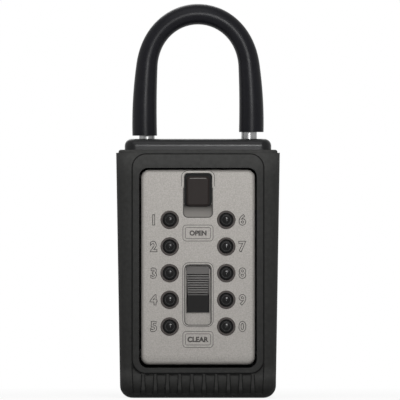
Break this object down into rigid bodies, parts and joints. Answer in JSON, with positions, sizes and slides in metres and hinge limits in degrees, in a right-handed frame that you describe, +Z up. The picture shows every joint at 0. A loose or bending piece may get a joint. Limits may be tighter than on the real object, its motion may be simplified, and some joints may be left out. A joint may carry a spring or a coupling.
{
  "type": "portable key safe",
  "caption": "Rubber-jacketed box with a push-button lid and a covered shackle, for keeping keys outdoors.",
  "frame": {"origin": "middle of the base, under the middle of the overall width and depth", "axes": "+Z up towards the shackle, -Y out of the lid's face, +X to the right seen from the front"},
  "size_m": [0.0634, 0.04, 0.1529],
  "materials": {
    "box_black": "gloss black coat on die-cast zinc",
    "jacket_rubber": "fine matt moulded rubber",
    "lid_silver": "satin silver-taupe with a fine level grain",
    "ring_grey": "satin brown-grey",
    "button_black": "satin black",
    "slider_grey": "satin dark grey",
    "polished_steel": "polished",
    "black_steel": "black oxide",
    "sleeve_vinyl": "smooth satin vinyl",
    "bush_bronze": "plain bronze",
    "gasket_rubber": "matt",
    "plated_steel": "zinc-plated",
    "release_blue": "blue passivated"
  },
  "bodies": {
    "case": {"box_body": "box_black", "rubber_jacket": "jacket_rubber", "shackle_bushes": "bush_bronze", "hinge_pin": "black_steel", "lid_gasket": "gasket_rubber", "strike_plate": "black_steel", "shackle_catch": "plated_steel", "catch_screw": "plated_steel", "release_screws": "plated_steel", "key_hook": "plated_steel", "hook_rivet": "plated_steel"},
    "shackle": {"shackle_rod": "polished_steel", "shackle_sleeve": "sleeve_vinyl", "heel_clip": "plated_steel"},
    "release": {"release_slide": "release_blue"},
    "lid": {"lid_shell": "lid_silver", "button_rings": "ring_grey", "finger_spring": "plated_steel", "code_plate": "plated_steel", "plate_screws": "plated_steel", "lid_catch": "plated_steel", "catch_rivets": "plated_steel", "open_spring": "plated_steel", "clear_spring": "plated_steel"},
    "open": {"open_button": "button_black", "lock_slide": "plated_steel"},
    "clear": {"clear_button": "slider_grey", "clear_plate": "plated_steel"},
    "button_0": {"push_button_0": "button_black"},
    "button_1": {"push_button_1": "button_black"},
    "button_2": {"push_button_2": "button_black"},
    "button_3": {"push_button_3": "button_black"},
    "button_4": {"push_button_4": "button_black"},
    "button_5": {"push_button_5": "button_black"},
    "button_6": {"push_button_6": "button_black"},
    "button_7": {"push_button_7": "button_black"},
    "button_8": {"push_button_8": "button_black"},
    "button_9": {"push_button_9": "button_black"}
  },
  "joints": [
    {"name": "bow_lift", "type": "slide", "parent": "case", "child": "shackle", "axis": [0, 0, 1], "range_m": [0, 0.024], "deforming": ["shackle_catch"]},
    {"name": "bow_release", "type": "slide", "parent": "case", "child": "release", "axis": [-1, 0, 0], "range_m": [0, 0.003], "stiffness_N_per_m": 500, "springref_m": -0.001},
    {"name": "lid_swing", "type": "hinge", "parent": "case", "child": "lid", "pos_m": [0, -0.0148, 0.0175], "axis": [1, 0, 0], "range_deg": [0, 95], "deforming": ["lid_catch"]},
    {"name": "open_slide", "type": "slide", "parent": "lid", "child": "open", "axis": [0, 0, -1], "range_m": [0, 0.0035], "stiffness_N_per_m": 400, "springref_m": -0.002, "deforming": ["open_spring"]},
    {"name": "clear_slide", "type": "slide", "parent": "lid", "child": "clear", "axis": [0, 0, -1], "range_m": [0, 0.0042], "stiffness_N_per_m": 400, "springref_m": -0.002, "deforming": ["clear_spring"]},
    {"name": "push_0", "type": "slide", "parent": "lid", "child": "button_0", "axis": [0, 1, 0], "range_m": [0, 0.002], "stiffness_N_per_m": 300, "springref_m": -0.001, "deforming": ["finger_spring"]},
    {"name": "push_1", "type": "slide", "parent": "lid", "child": "button_1", "axis": [0, 1, 0], "range_m": [0, 0.002], "stiffness_N_per_m": 300, "springref_m": -0.001},
    {"name": "push_2", "type": "slide", "parent": "lid", "child": "button_2", "axis": [0, 1, 0], "range_m": [0, 0.002], "stiffness_N_per_m": 300, "springref_m": -0.001},
    {"name": "push_3", "type": "slide", "parent": "lid", "child": "button_3", "axis": [0, 1, 0], "range_m": [0, 0.002], "stiffness_N_per_m": 300, "springref_m": -0.001},
    {"name": "push_4", "type": "slide", "parent": "lid", "child": "button_4", "axis": [0, 1, 0], "range_m": [0, 0.002], "stiffness_N_per_m": 300, "springref_m": -0.001},
    {"name": "push_5", "type": "slide", "parent": "lid", "child": "button_5", "axis": [0, 1, 0], "range_m": [0, 0.002], "stiffness_N_per_m": 300, "springref_m": -0.001},
    {"name": "push_6", "type": "slide", "parent": "lid", "child": "button_6", "axis": [0, 1, 0], "range_m": [0, 0.002], "stiffness_N_per_m": 300, "springref_m": -0.001},
    {"name": "push_7", "type": "slide", "parent": "lid", "child": "button_7", "axis": [0, 1, 0], "range_m": [0, 0.002], "stiffness_N_per_m": 300, "springref_m": -0.001},
    {"name": "push_8", "type": "slide", "parent": "lid", "child": "button_8", "axis": [0, 1, 0], "range_m": [0, 0.002], "stiffness_N_per_m": 300, "springref_m": -0.001},
    {"name": "push_9", "type": "slide", "parent": "lid", "child": "button_9", "axis": [0, 1, 0], "range_m": [0, 0.002], "stiffness_N_per_m": 300, "springref_m": -0.001}
  ]
}
